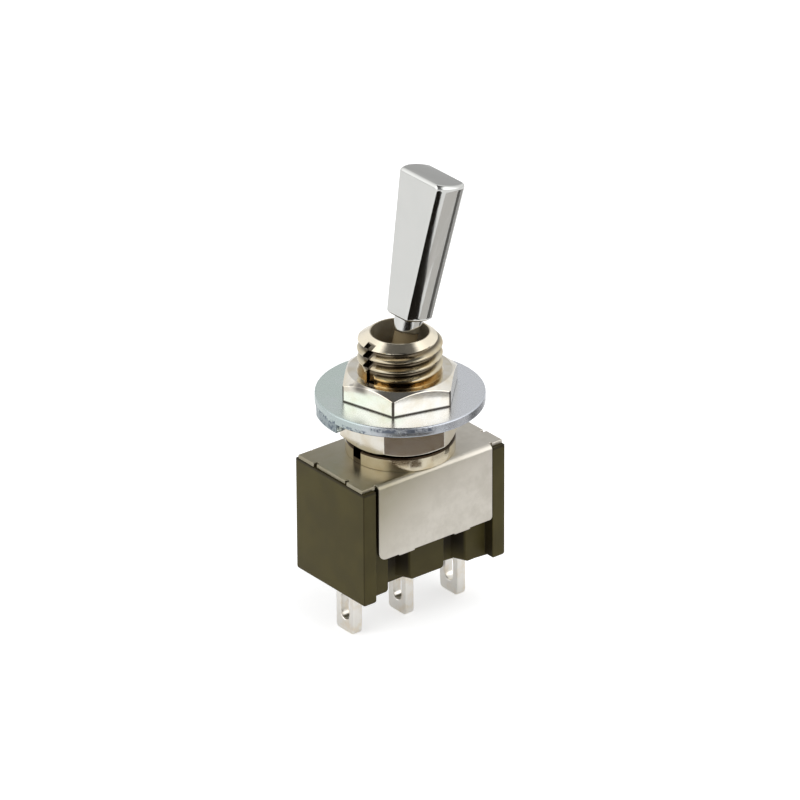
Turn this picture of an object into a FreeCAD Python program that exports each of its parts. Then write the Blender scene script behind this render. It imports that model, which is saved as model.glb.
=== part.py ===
import FreeCAD, Part
import math
import os
import Sketcher

# Miniature single-pole panel toggle switch, in millimetres.
# +Z runs up the threaded bushing, X is the row of solder lugs and the plane in which the
# lever swings, and -Y is the long side of the case that carries one flap of the frame.
# The origin is on the bushing's axis, level with the top face of the upper nut.

# Driving sizes: name, value, what it is
SIZES = [
    ("case_length", 12.7, "moulded case along X"),
    ("case_width", 7.7, "moulded case along Y"),
    ("case_height", 8.8, "moulded case below the frame"),
    ("case_corner_radius", 0.1, "upright outer corners of the case"),
    ("rib_width", 1.1, "end rib beside a flap, along X"),
    ("recess_depth", 0.9, "long side of the case between its ribs, below their faces"),
    ("cavity_length", 10.3, "contact chamber along X"),
    ("cavity_width", 4.6, "contact chamber along Y"),
    ("cavity_depth", 4.7, "contact chamber below the case's rim"),
    ("rim_relief_radius", 3.1, "round relief for the staked end of the bushing"),
    ("rim_relief_depth", 0.4, "depth of that relief"),
    ("notch_near", 1.5, "centre block's half length, where a notch begins"),
    ("notch_far", 3.5, "where a notch ends"),
    ("notch_depth", 1.1, "notch into the recessed long side"),
    ("notch_draft", 0.5, "how far each notch wall slants over its depth"),
    ("notch_edge_radius", 0.25, "rounded lower edge of a notch wall"),
    ("block_rise", 0.25, "centre block's foot above the end blocks"),
    ("frame_end_inset", 0.05, "frame plate's end inside the case's end"),
    ("frame_side_inset", 0.25, "frame plate's end inside the case's long side"),
    ("frame_thickness", 0.3, "sheet of the frame"),
    ("frame_bend_radius", 0.4, "outer bend between plate and flap"),
    ("frame_hole_clearance", 0.03, "radial, round the bushing's neck"),
    ("end_notch_width", 3.7, "set-back middle of each short edge of the plate"),
    ("end_notch_depth", 0.08, "how far that middle is set back"),
    ("end_slit_width", 0.25, "slit at each end of that middle"),
    ("end_slit_depth", 0.35, "slit from the plate's end inwards"),
    ("flap_gap_left", 0.27, "between a flap and the case's rib at -X"),
    ("flap_gap_right", 0.03, "between a flap and the case's rib at +X"),
    ("flap_relief", 0.15, "slit in the plate beside a flap"),
    ("flap_drop", 5.9, "flap's lower edge below the plate's top"),
    ("flap_corner_left", 0.65, "radius of a flap's lower corner at -X"),
    ("flap_corner_right", 0.25, "radius of a flap's lower corner at +X"),
    ("tab_width", 1.4, "clinched tab along X"),
    ("tab_reach", 1.0, "clinched tab inside the flap"),
    ("tab_drop", 0.1, "clinched tab's foot below the flap's edge"),
    ("flange_radius", 3.9, "flange of the bushing"),
    ("flange_height", 1.05, "flange of the bushing"),
    ("neck_radius", 2.6, "bushing's neck through the frame"),
    ("stake_radius", 2.8, "neck spread under the frame"),
    ("stake_height", 0.25, "spread part of the neck"),
    ("thread_radius", 3.0, "outside of the exposed thread, M6 x 0.75"),
    ("thread_seat_radius", 2.55, "thread's core, where the nuts cover it"),
    ("exposed_thread", 2.95, "bushing above the upper nut"),
    ("mouth_radius", 2.05, "bore at the bushing's mouth"),
    ("mouth_bevel_width", 0.87, "bevel outside the mouth, down to the thread's crest"),
    ("mouth_bevel_depth", 0.6, "height of that bevel"),
    ("guide_depth", 5.0, "narrow upper bore below the mouth"),
    ("lower_bore_radius", 2.3, "wide lower bore, for the swinging tube"),
    ("keyway_width", 0.8, "keyway down the thread and flange"),
    ("keyway_floor", 2.5, "keyway's floor from the axis"),
    ("keyway_stop", 0.4, "uncut part of the flange below the keyway"),
    ("pivot_depth", 3.0, "hinge axis below the bushing's mouth"),
    ("lever_lean", 12.0, "degrees from upright to the end stop"),
    ("pin_radius", 0.4, "hinge pin"),
    ("pin_length", 4.6, "hinge pin"),
    ("pin_clearance", 0.03, "radial, round the hinge pin"),
    ("pin_slot_radius", 2.38, "pin slots in the bore, from the axis"),
    ("ball_radius", 1.95, "ball of the lever in the bore"),
    ("tube_radius", 0.75, "lever's hollow lower end"),
    ("tube_bore_radius", 0.45, "blind bore for spring and plunger"),
    ("tube_bore_depth", 4.4, "blind bore for spring and plunger"),
    ("stem_radius", 0.85, "lever's stem above the ball"),
    ("collar_radius", 0.95, "collar below the paddle"),
    ("collar_height", 1.0, "collar below the paddle"),
    ("paddle_start", 4.0, "paddle's lower end above the hinge axis"),
    ("paddle_length", 10.42, "paddle"),
    ("paddle_foot_width", 2.2, "flat face at the paddle's lower end"),
    ("paddle_foot_thickness", 2.34, "across the flats, lower end"),
    ("paddle_foot_bulge", 0.3, "rounded narrow side, lower end"),
    ("paddle_top_width", 4.1, "flat face at the paddle's top"),
    ("paddle_top_thickness", 2.58, "across the flats, top"),
    ("paddle_top_bulge", 0.5, "rounded narrow side, top"),
    ("paddle_edge_bevel", 0.15, "edge round the paddle's top"),
    ("plunger_out", 2.0, "plunger below the lever's tube"),
    ("plunger_inside", 1.8, "plunger inside the lever's tube"),
    ("plunger_clearance", 0.04, "radial, round the plunger's rod"),
    ("plunger_head_radius", 0.6, "domed end of the plunger"),
    ("plunger_head_height", 0.75, "domed end of the plunger"),
    ("plunger_gap", 0.07, "plunger above the rocker with the lever upright"),
    ("spring_wire_radius", 0.08, "plunger spring"),
    ("spring_pitch", 0.5, "plunger spring"),
    ("spring_clearance", 0.04, "radial, in the tube"),
    ("rocker_lean", 8.0, "degrees, slope of each rocker arm"),
    ("rocker_arm", 4.35, "rocker arm along its slope"),
    ("rocker_thickness", 0.3, "rocker strip"),
    ("rocker_width", 2.8, "rocker strip along Y"),
    ("ear_length", 0.9, "rocker's ear along X"),
    ("ear_drop", 0.6, "rocker's ear below the pivot"),
    ("tip_reach", 3.55, "contact tip's centre along the arm"),
    ("tip_radius", 0.75, "contact tip"),
    ("tip_height", 0.3, "contact tip"),
    ("contact_radius", 0.85, "fixed contact's head"),
    ("contact_height", 0.3, "fixed contact's head"),
    ("contact_shank_radius", 0.4, "fixed contact's shank"),
    ("contact_edge", 0.1, "bevel round tips and contacts"),
    ("contact_gap", 0.02, "between pieces that press on each other"),
    ("lug_pitch", 4.7, "between neighbouring lugs"),
    ("lug_width", 2.0, "lug along Y"),
    ("lug_thickness", 0.75, "lug along X"),
    ("lug_length", 3.85, "lug below the case"),
    ("lug_corner_radius", 0.35, "lower corners of a lug"),
    ("eye_width", 0.9, "wire slot along Y"),
    ("eye_length", 2.0, "wire slot along Z"),
    ("eye_margin", 0.95, "metal below the wire slot"),
    ("lug_clearance", 0.02, "between a lug and its slot in the case"),
    ("foot_length", 2.4, "bent foot under a fixed contact"),
    ("foot_bend_radius", 0.4, "outer bend of that foot"),
    ("shoulder_width", 2.8, "common lug's shoulder along Y"),
    ("shoulder_height", 0.45, "common lug's shoulder"),
    ("seal_length", 1.55, "sealing resin along X"),
    ("seal_width", 2.8, "sealing resin along Y"),
    ("seal_depth", 0.5, "sealing resin"),
    ("nut_flats", 7.6, "nuts across the flats"),
    ("nut_bore_radius", 2.6, "nuts' bore, inside their own threads"),
    ("nut_bore_bevel", 0.45, "bevel at each end of a nut's bore"),
    ("nut_chamfer_radius", 3.65, "round face left by the nut's chamfer"),
    ("nut_chamfer_slope", 0.68, "drop of the chamfer over its width"),
    ("upper_nut_height", 1.65, "upper nut"),
    ("upper_nut_turn", 44.9, "degrees, upper nut's corner"),
    ("lower_nut_height", 2.25, "lower nut"),
    ("lower_nut_turn", 36.3, "degrees, lower nut's corner"),
    ("ring_radius", 6.0, "locking ring"),
    ("ring_bore_radius", 3.05, "locking ring"),
    ("ring_thickness", 0.75, "locking ring"),
    ("tongue_width", 0.7, "locking ring's tongue in the keyway"),
    ("tongue_tip", 2.6, "tongue's end from the axis"),
    ("bent_lug_angle", 168.0, "degrees, bent lug of the locking ring"),
    ("bent_lug_spread", 15.5, "degrees, half of the bent lug"),
    ("bent_lug_inner_radius", 5.05, "inside of the bent lug"),
    ("bent_lug_drop", 0.65, "bent lug below the ring"),
    ("washer_radius", 3.85, "toothed lock washer"),
    ("washer_thickness", 0.43, "toothed lock washer"),
    ("tooth_root_radius", 3.5, "between the washer's teeth"),
    ("tooth_gap", 0.6, "between two teeth"),
    ("tooth_count", 10, "washer's teeth"),
]

doc = FreeCAD.newDocument("toggle_switch")
sheet = doc.addObject("Spreadsheet::Sheet", "Sizes")
for row, (name, value, note) in enumerate(SIZES, start=1):
    sheet.set(f"A{row}", name)
    sheet.set(f"B{row}", str(value))
    sheet.set(f"C{row}", note)
    sheet.setAlias(f"B{row}", name)
doc.recompute()


class Size:
    """A length or angle: its value now, and the sheet formula that gives it."""

    def __init__(self, value, formula):
        self.value = float(value)
        self.formula = formula

    def joined(self, other, sign, value):
        other_formula = other.formula if isinstance(other, Size) else str(other)
        return Size(value, f"({self.formula} {sign} {other_formula})")

    def __add__(self, other):
        return self.joined(other, "+", self.value + number(other))

    def __sub__(self, other):
        return self.joined(other, "-", self.value - number(other))

    def __mul__(self, other):
        return self.joined(other, "*", self.value * number(other))

    def __truediv__(self, other):
        return self.joined(other, "/", self.value / number(other))

    def __neg__(self):
        return Size(-self.value, f"(0 - {self.formula})")


def number(thing):
    return thing.value if isinstance(thing, Size) else float(thing)


def sheet_size(name):
    return Size(sheet.get(name), f"Sizes.{name}")


def root(size):
    return Size(math.sqrt(size.value), f"sqrt({size.formula})")


def sine(angle):
    return Size(math.sin(math.radians(angle.value)), f"sin({angle.formula} * 1deg)")


def cosine(angle):
    return Size(math.cos(math.radians(angle.value)), f"cos({angle.formula} * 1deg)")


NEARNESS = 0.001
ZERO = Size(0, "0")
ROOT_OF_THREE = root(Size(3, "3"))
S = {name: sheet_size(name) for name, value, note in SIZES}

# Heights above the frame plate's top, and that plate's own place in the frame
NUT_SEAT = S["flange_height"] + S["lower_nut_height"] + S["washer_thickness"] + S["ring_thickness"]
NUT_TOP = NUT_SEAT + S["upper_nut_height"]
MOUTH = NUT_TOP + S["exposed_thread"]
PIVOT = MOUTH - S["pivot_depth"]
PLATE_TOP = -NUT_TOP
CASE_RIM = -S["frame_thickness"]
FLOOR = CASE_RIM - S["cavity_depth"]
CASE_FOOT = CASE_RIM - S["case_height"]
LUG_END = CASE_FOOT - S["lug_length"]
CONTACT_TOP = FLOOR + S["lug_thickness"] + S["contact_height"]
ROCKER_PIVOT = CONTACT_TOP + S["contact_gap"] + S["tip_height"]
RECESS_FACE = S["case_width"] / 2 - S["recess_depth"]
RIB_FACE = S["case_length"] / 2 - S["rib_width"]
FLAP_FACE = S["case_width"] / 2
FLAP_LEFT = S["flap_gap_left"] - RIB_FACE
FLAP_RIGHT = RIB_FACE - S["flap_gap_right"]
LEDGE = S["flap_drop"] + S["tab_drop"] - S["frame_thickness"]

# Distances down the lever from its hinge axis
ROCKER_TOP = ROCKER_PIVOT + S["rocker_thickness"] / cosine(S["rocker_lean"])
PLUNGER_END = PIVOT - ROCKER_TOP - S["plunger_gap"]
TUBE_END = PLUNGER_END - S["plunger_out"]
SPRING_SEAT = TUBE_END - S["tube_bore_depth"]
PLUNGER_TOP = TUBE_END - S["plunger_inside"]
PADDLE_TOP = S["paddle_start"] + S["paddle_length"]


def new_body(label, x=ZERO, z=ZERO, axis=(0, 1, 0), angle=None):
    """A body whose place follows the sheet: x and z, then a turn about one axis."""
    body = doc.addObject("PartDesign::Body", label)
    body.Label = label
    turn = FreeCAD.Rotation(FreeCAD.Vector(*axis), angle.value if angle else 0)
    body.Placement = FreeCAD.Placement(FreeCAD.Vector(x.value, 0, z.value), turn)
    body.setExpression("Placement.Base.x", x.formula)
    body.setExpression("Placement.Base.z", z.formula)
    if angle:
        body.setExpression("Placement.Rotation.Angle", f"{angle.formula} * 1deg")
    return body


def housing_body(label):
    """A body that stands still, drawn from the frame plate's top."""
    return new_body(label, z=PLATE_TOP)


def lever_body(label):
    """A body that leans with the lever, drawn from the hinge axis."""
    return new_body(label, z=PLATE_TOP + PIVOT, angle=S["lever_lean"])


def new_sketch(body, name, role, offset=None):
    sketch = body.newObject("Sketcher::SketchObject", name)
    plane = [feature for feature in body.Origin.OriginFeatures if feature.Role == role][0]
    sketch.AttachmentSupport = [(plane, "")]
    sketch.MapMode = "FlatFace"
    if offset:
        sketch.AttachmentOffset = FreeCAD.Placement(
            FreeCAD.Vector(0, 0, offset.value), FreeCAD.Rotation())
        sketch.setExpression("AttachmentOffset.Base.z", offset.formula)
    return sketch


def bind(sketch, constraint, size):
    index = sketch.addConstraint(constraint)
    sketch.setExpression(f"Constraints[{index}]", size.formula)


def place_point(sketch, geometry, end, point):
    """Ties one end of a line or arc to a sheet position."""
    x, y = point
    if x.formula == "0" and y.formula == "0":
        sketch.addConstraint(Sketcher.Constraint("Coincident", geometry, end, -1, 1))
        return
    if x.formula == "0":
        sketch.addConstraint(Sketcher.Constraint("PointOnObject", geometry, end, -2))
    else:
        bind(sketch, Sketcher.Constraint("DistanceX", -1, 1, geometry, end, x.value), x)
    if y.formula == "0":
        sketch.addConstraint(Sketcher.Constraint("PointOnObject", geometry, end, -1))
    else:
        bind(sketch, Sketcher.Constraint("DistanceY", -1, 1, geometry, end, y.value), y)


def flat(point):
    return FreeCAD.Vector(point[0].value, point[1].value, 0)


def arc_through(start, end, radius, side):
    """The shorter arc between two points, bulging to the left (1) or right (-1) of start to end."""
    middle = (start + end) * 0.5
    half = (end - start) * 0.5
    left = FreeCAD.Vector(-half.y, half.x, 0)
    left.normalize()
    sagitta = radius - math.sqrt(max(radius ** 2 - half.Length ** 2, 0))
    return Part.Arc(start, middle + left * side * sagitta, end)


def outline(sketch, points, arcs=None):
    """A closed outline. arcs gives, for the edge that leaves a point, its radius and side."""
    arcs = arcs or {}
    count = len(points)
    first = None
    for index, point in enumerate(points):
        start = flat(point)
        end = flat(points[(index + 1) % count])
        if index in arcs:
            radius, side = arcs[index]
            piece = sketch.addGeometry(arc_through(start, end, radius.value, side), False)
        else:
            piece = sketch.addGeometry(Part.LineSegment(start, end), False)
        first = piece if first is None else first
    # An arc drawn clockwise is stored the other way round, so its ends swap
    ends = []
    for index in range(count):
        swapped = index in arcs and arcs[index][1] == 1
        ends.append((2, 1) if swapped else (1, 2))
    for index in range(count):
        following = (index + 1) % count
        sketch.addConstraint(Sketcher.Constraint(
            "Coincident", first + index, ends[index][1], first + following, ends[following][0]))
        place_point(sketch, first + index, ends[index][0], points[index])
        if index in arcs:
            radius = arcs[index][0]
            bind(sketch, Sketcher.Constraint("Radius", first + index, radius.value), radius)


def box_outline(sketch, low, high):
    outline(sketch, [low, (high[0], low[1]), high, (low[0], high[1])])


def circle(sketch, centre, radius):
    middle = flat(centre)
    piece = sketch.addGeometry(Part.Circle(middle, FreeCAD.Vector(0, 0, 1), radius.value), False)
    place_point(sketch, piece, 3, centre)
    bind(sketch, Sketcher.Constraint("Radius", piece, radius.value), radius)


def grow(body, kind, name, sketch, length, reverse=False, symmetric=False):
    """A pad or pocket of a sketch, as long as the sheet says."""
    feature = body.newObject(f"PartDesign::{kind}", name)
    feature.Profile = sketch
    feature.Length = length.value
    feature.setExpression("Length", length.formula)
    feature.Reversed = reverse
    if symmetric:
        feature.SideType = "Symmetric"
    return feature


def turn(body, kind, name, sketch):
    """A full revolution or groove of a sketch about the body's own Z."""
    feature = body.newObject(f"PartDesign::{kind}", name)
    feature.Profile = sketch
    feature.ReferenceAxis = (sketch, ["V_Axis"])
    feature.Angle = 360
    return feature


def soften(body, kind, name, radius, wanted):
    """A fillet or chamfer on the tip's straight edges whose two ends satisfy wanted."""
    doc.recompute()
    base = body.Tip
    names = []
    for index, edge in enumerate(base.Shape.Edges, start=1):
        ends = [vertex.Point for vertex in edge.Vertexes]
        if len(ends) == 2 and wanted(ends[0], ends[1]):
            names.append(f"Edge{index}")
    feature = body.newObject(f"PartDesign::{kind}", name)
    feature.Base = (base, names)
    size = "Radius" if kind == "Fillet" else "Size"
    setattr(feature, size, radius.value)
    feature.setExpression(size, radius.formula)
    return feature


def near(one, other):
    return abs(one - number(other)) < NEARNESS


def make_case():
    """Moulded case: end ribs, recessed long sides, contact chamber and clinching notches."""
    body = housing_body("case")
    end = S["case_length"] / 2
    side = S["case_width"] / 2
    rib = RIB_FACE
    plan = new_sketch(body, "case_plan", "XY_Plane", CASE_RIM)
    outline(plan, [
        (-end, -side), (-rib, -side), (-rib, -RECESS_FACE), (rib, -RECESS_FACE),
        (rib, -side), (end, -side), (end, side), (rib, side),
        (rib, RECESS_FACE), (-rib, RECESS_FACE), (-rib, side), (-end, side)])
    grow(body, "Pad", "case_block", plan, S["case_height"], reverse=True)

    def outer_corner(one, other):
        upright = near(one.x, other.x) and near(one.y, other.y)
        return upright and near(abs(one.x), end) and near(abs(one.y), side)

    soften(body, "Fillet", "case_corners", S["case_corner_radius"], outer_corner)

    chamber = new_sketch(body, "chamber_plan", "XY_Plane", CASE_RIM)
    half_length = S["cavity_length"] / 2
    half_width = S["cavity_width"] / 2
    box_outline(chamber, (-half_length, -half_width), (half_length, half_width))
    grow(body, "Pocket", "chamber", chamber, S["cavity_depth"])

    relief = new_sketch(body, "relief_plan", "XY_Plane", CASE_RIM)
    circle(relief, (ZERO, ZERO), S["rim_relief_radius"])
    grow(body, "Pocket", "stake_relief", relief, S["rim_relief_depth"])

    # Each notch opens to the side and the foot, and its top is the ledge for a frame tab
    back = RECESS_FACE - S["notch_depth"]
    notches = new_sketch(body, "notch_plan", "XY_Plane", CASE_FOOT)
    for x_sign in (-1, 1):
        for y_sign in (-1, 1):
            outline(notches, [
                (S["notch_near"] * x_sign, side * y_sign),
                (S["notch_near"] * x_sign, RECESS_FACE * y_sign),
                ((S["notch_near"] + S["notch_draft"]) * x_sign, back * y_sign),
                ((S["notch_far"] - S["notch_draft"]) * x_sign, back * y_sign),
                (S["notch_far"] * x_sign, RECESS_FACE * y_sign),
                (S["notch_far"] * x_sign, side * y_sign)])
    grow(body, "Pocket", "notches", notches, -CASE_FOOT - LEDGE, reverse=True)

    raised = new_sketch(body, "raised_foot_plan", "XY_Plane", CASE_FOOT)
    for y_sign in (-1, 1):
        box_outline(raised, (-S["notch_near"] - S["notch_draft"], back * y_sign),
                    (S["notch_near"] + S["notch_draft"], side * y_sign))
    grow(body, "Pocket", "raised_foot", raised, S["block_rise"], reverse=True)

    def foot_edge(one, other):
        low = near(one.z, other.z) and one.z < number(CASE_FOOT + S["block_rise"]) + NEARNESS
        outside = min(abs(one.y), abs(other.y)) > number(back) - NEARNESS
        return low and outside and not near(one.y, other.y)

    soften(body, "Fillet", "foot_edges", S["notch_edge_radius"], foot_edge)

    slots = new_sketch(body, "lug_slot_plan", "XY_Plane", FLOOR)
    wells = new_sketch(body, "seal_well_plan", "XY_Plane", CASE_FOOT)
    for place in (-1, 0, 1):
        box_across(slots, place, S["lug_thickness"] + S["lug_clearance"] * 2,
                   S["lug_width"] + S["lug_clearance"] * 2)
        box_across(wells, place, S["seal_length"], S["seal_width"])
    grow(body, "Pocket", "lug_slots", slots, FLOOR - CASE_FOOT)
    grow(body, "Pocket", "seal_wells", wells, S["seal_depth"], reverse=True)
    return body


def box_across(sketch, place, length, width):
    """A rectangle centred on one of the three lugs."""
    middle = S["lug_pitch"] * place
    box_outline(sketch, (middle - length / 2, -width / 2), (middle + length / 2, width / 2))


def make_frame():
    """Bent sheet frame: plate, two flaps, and tabs clinched under the case's ledges."""
    body = housing_body("frame")
    inside = FLAP_FACE - S["frame_thickness"]
    bend = S["frame_bend_radius"]
    section = new_sketch(body, "frame_section", "YZ_Plane", FLAP_LEFT)
    outline(section, [
        (-FLAP_FACE, -S["flap_drop"]), (-inside, -S["flap_drop"]), (-inside, CASE_RIM),
        (inside, CASE_RIM), (inside, -S["flap_drop"]), (FLAP_FACE, -S["flap_drop"]),
        (FLAP_FACE, -bend), (FLAP_FACE - bend, ZERO),
        (bend - FLAP_FACE, ZERO), (-FLAP_FACE, -bend)],
        arcs={6: (bend, -1), 8: (bend, -1)})
    grow(body, "Pad", "bent_sheet", section, FLAP_RIGHT - FLAP_LEFT)

    plate = new_sketch(body, "plate_plan", "XY_Plane")
    end = S["case_length"] / 2 - S["frame_end_inset"]
    wide = S["case_width"] / 2 - S["frame_side_inset"]
    slim = FLAP_FACE - bend
    left = FLAP_LEFT - S["flap_relief"]
    right = FLAP_RIGHT + S["flap_relief"]
    notch = S["end_notch_width"] / 2
    notch_end = end - S["end_notch_depth"]
    slit = notch - S["end_slit_width"]
    slit_end = end - S["end_slit_depth"]
    outline(plate, [
        (-end, -wide), (left, -wide), (left, -slim), (right, -slim), (right, -wide), (end, -wide),
        (end, -notch), (slit_end, -notch), (slit_end, -slit), (notch_end, -slit),
        (notch_end, slit), (slit_end, slit), (slit_end, notch), (end, notch),
        (end, wide), (right, wide), (right, slim), (left, slim), (left, wide), (-end, wide),
        (-end, notch), (-slit_end, notch), (-slit_end, slit), (-notch_end, slit),
        (-notch_end, -slit), (-slit_end, -slit), (-slit_end, -notch), (-end, -notch)])
    grow(body, "Pad", "plate", plate, S["frame_thickness"], reverse=True)

    def flap_corner_at(side):
        def flap_corner(one, other):
            across = near(one.x, other.x) and near(one.z, other.z) and not near(one.y, other.y)
            return across and near(one.z, -S["flap_drop"]) and near(one.x, side)
        return flap_corner

    soften(body, "Fillet", "left_corners", S["flap_corner_left"], flap_corner_at(FLAP_LEFT))
    soften(body, "Fillet", "right_corners", S["flap_corner_right"], flap_corner_at(FLAP_RIGHT))

    middle = (S["notch_near"] + S["notch_far"]) / 2
    tabs = new_sketch(body, "tab_plan", "XY_Plane", -LEDGE)
    for x_sign in (-1, 1):
        for y_sign in (-1, 1):
            outer = FLAP_FACE * y_sign
            inner = (inside - S["tab_reach"]) * y_sign
            box_outline(tabs, (middle * x_sign - S["tab_width"] / 2, inner),
                        (middle * x_sign + S["tab_width"] / 2, outer))
    grow(body, "Pad", "tabs", tabs, S["frame_thickness"], reverse=True)

    hole = new_sketch(body, "neck_hole_plan", "XY_Plane")
    circle(hole, (ZERO, ZERO), S["neck_radius"] + S["frame_hole_clearance"])
    grow(body, "Pocket", "neck_hole", hole, S["frame_thickness"])
    return body


def make_bushing():
    """Turned bushing: threaded barrel, flange, staked neck, keyway and pin slots."""
    body = housing_body("bushing")
    foot = CASE_RIM - S["stake_height"]
    bevel_foot = MOUTH - S["mouth_bevel_depth"]
    guide_end = MOUTH - S["guide_depth"]
    profile = new_sketch(body, "bushing_profile", "XZ_Plane")
    outline(profile, [
        (S["lower_bore_radius"], foot), (S["stake_radius"], foot), (S["stake_radius"], CASE_RIM),
        (S["neck_radius"], CASE_RIM), (S["neck_radius"], ZERO), (S["flange_radius"], ZERO),
        (S["flange_radius"], S["flange_height"]), (S["thread_seat_radius"], S["flange_height"]),
        (S["thread_seat_radius"], NUT_TOP), (S["thread_radius"], NUT_TOP),
        (S["thread_radius"], bevel_foot), (S["thread_radius"] - S["mouth_bevel_width"], MOUTH),
        (S["mouth_radius"], MOUTH), (S["mouth_radius"], guide_end),
        (S["lower_bore_radius"], guide_end)])
    turn(body, "Revolution", "barrel", profile)

    keyway = new_sketch(body, "keyway_plan", "XY_Plane", S["keyway_stop"])
    half = S["keyway_width"] / 2
    box_outline(keyway, (-S["flange_radius"] - S["keyway_width"], -half),
                (-S["keyway_floor"], half))
    grow(body, "Pocket", "keyway", keyway, MOUTH - S["keyway_stop"], reverse=True)

    # The pin slots run up from the foot, so that lever and pin go in from below
    slot = S["pin_radius"] + S["pin_clearance"]
    slots = new_sketch(body, "pin_slot_outline", "XZ_Plane")
    outline(slots, [(-slot, foot), (slot, foot), (slot, PIVOT), (ZERO, PIVOT + slot),
                    (-slot, PIVOT)], arcs={2: (slot, -1), 3: (slot, -1)})
    grow(body, "Pocket", "pin_slots", slots, S["pin_slot_radius"] * 2, symmetric=True)
    return body


def make_pin():
    """Hinge pin across the bore, along Y."""
    body = new_body("pivot_pin", z=PLATE_TOP + PIVOT)
    section = new_sketch(body, "pin_section", "XZ_Plane")
    circle(section, (ZERO, ZERO), S["pin_radius"])
    grow(body, "Pad", "pin", section, S["pin_length"], symmetric=True)
    return body


def paddle_section(body, name, height, width, thickness, bulge):
    """Two flats facing X, joined by rounded narrow sides."""
    sketch = new_sketch(body, name, "XY_Plane", height)
    half_width = width / 2
    half_thickness = thickness / 2
    radius = (half_thickness * half_thickness + bulge * bulge) / (bulge * 2)
    outline(sketch, [
        (-half_thickness, -half_width), (half_thickness, -half_width),
        (half_thickness, half_width), (-half_thickness, half_width)],
        arcs={0: (radius, -1), 2: (radius, -1)})
    return sketch


def make_lever():
    """Lever: flat tapering paddle, collar, stem, ball and the hollow end inside the case."""
    body = lever_body("lever")
    ball = S["ball_radius"]
    tube = S["tube_radius"]
    stem = S["stem_radius"]
    bore = S["tube_bore_radius"]
    ball_foot = root(ball * ball - tube * tube)
    ball_crown = root(ball * ball - stem * stem)
    collar_foot = S["paddle_start"] - S["collar_height"]
    overlap = S["paddle_start"] + S["collar_height"]
    profile = new_sketch(body, "lever_profile", "XZ_Plane")
    outline(profile, [
        (ZERO, -SPRING_SEAT), (bore, -SPRING_SEAT), (bore, -TUBE_END), (tube, -TUBE_END),
        (tube, -ball_foot), (ball, ZERO), (stem, ball_crown), (stem, collar_foot),
        (S["collar_radius"], collar_foot), (S["collar_radius"], overlap), (ZERO, overlap)],
        arcs={4: (ball, -1), 5: (ball, -1)})
    turn(body, "Revolution", "turned_part", profile)

    foot = paddle_section(body, "paddle_foot", S["paddle_start"], S["paddle_foot_width"],
                          S["paddle_foot_thickness"], S["paddle_foot_bulge"])
    top = paddle_section(body, "paddle_top", PADDLE_TOP, S["paddle_top_width"],
                         S["paddle_top_thickness"], S["paddle_top_bulge"])
    paddle = body.newObject("PartDesign::AdditiveLoft", "paddle")
    paddle.Profile = foot
    paddle.Sections = [top]
    paddle.Ruled = True

    def top_edge(one, other):
        return near(one.z, PADDLE_TOP) and near(other.z, PADDLE_TOP)

    soften(body, "Chamfer", "paddle_edge", S["paddle_edge_bevel"], top_edge)

    hole = new_sketch(body, "pin_hole_section", "XZ_Plane")
    circle(hole, (ZERO, ZERO), S["pin_radius"] + S["pin_clearance"])
    grow(body, "Pocket", "pin_hole", hole, ball * 3, symmetric=True)
    return body


def make_plunger():
    """Moulded plunger: a rod in the lever's tube and a domed end on the rocker."""
    body = lever_body("plunger")
    rod = S["tube_bore_radius"] - S["plunger_clearance"]
    head = S["plunger_head_radius"]
    shoulder = S["plunger_head_height"] - PLUNGER_END
    profile = new_sketch(body, "plunger_profile", "XZ_Plane")
    outline(profile, [
        (ZERO, -PLUNGER_END), (head, head - PLUNGER_END), (head, shoulder), (rod, shoulder),
        (rod, -PLUNGER_TOP), (ZERO, -PLUNGER_TOP)],
        arcs={0: (head, -1)})
    turn(body, "Revolution", "rod_and_head", profile)
    return body


def make_spring():
    """Coil spring between the blind end of the tube and the plunger, its wire six-sided."""
    body = lever_body("plunger_spring")
    wire = S["spring_wire_radius"]
    centre = S["tube_bore_radius"] - S["spring_clearance"] - wire
    section = new_sketch(body, "wire_section", "XZ_Plane")
    middle = wire - PLUNGER_TOP
    half = wire / 2
    tall = half * ROOT_OF_THREE
    outline(section, [
        (centre - wire, middle), (centre - half, middle - tall), (centre + half, middle - tall),
        (centre + wire, middle), (centre + half, middle + tall), (centre - half, middle + tall)])
    coil = body.newObject("PartDesign::AdditiveHelix", "coil")
    coil.Profile = section
    coil.ReferenceAxis = (section, ["V_Axis"])
    coil.Mode = "pitch-height-angle"
    height = PLUNGER_TOP - SPRING_SEAT - wire * 2
    coil.Pitch = S["spring_pitch"].value
    coil.setExpression("Pitch", S["spring_pitch"].formula)
    coil.Height = height.value
    coil.setExpression("Height", height.formula)
    coil.Angle = 0
    coil.Growth = 0
    return body


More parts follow.
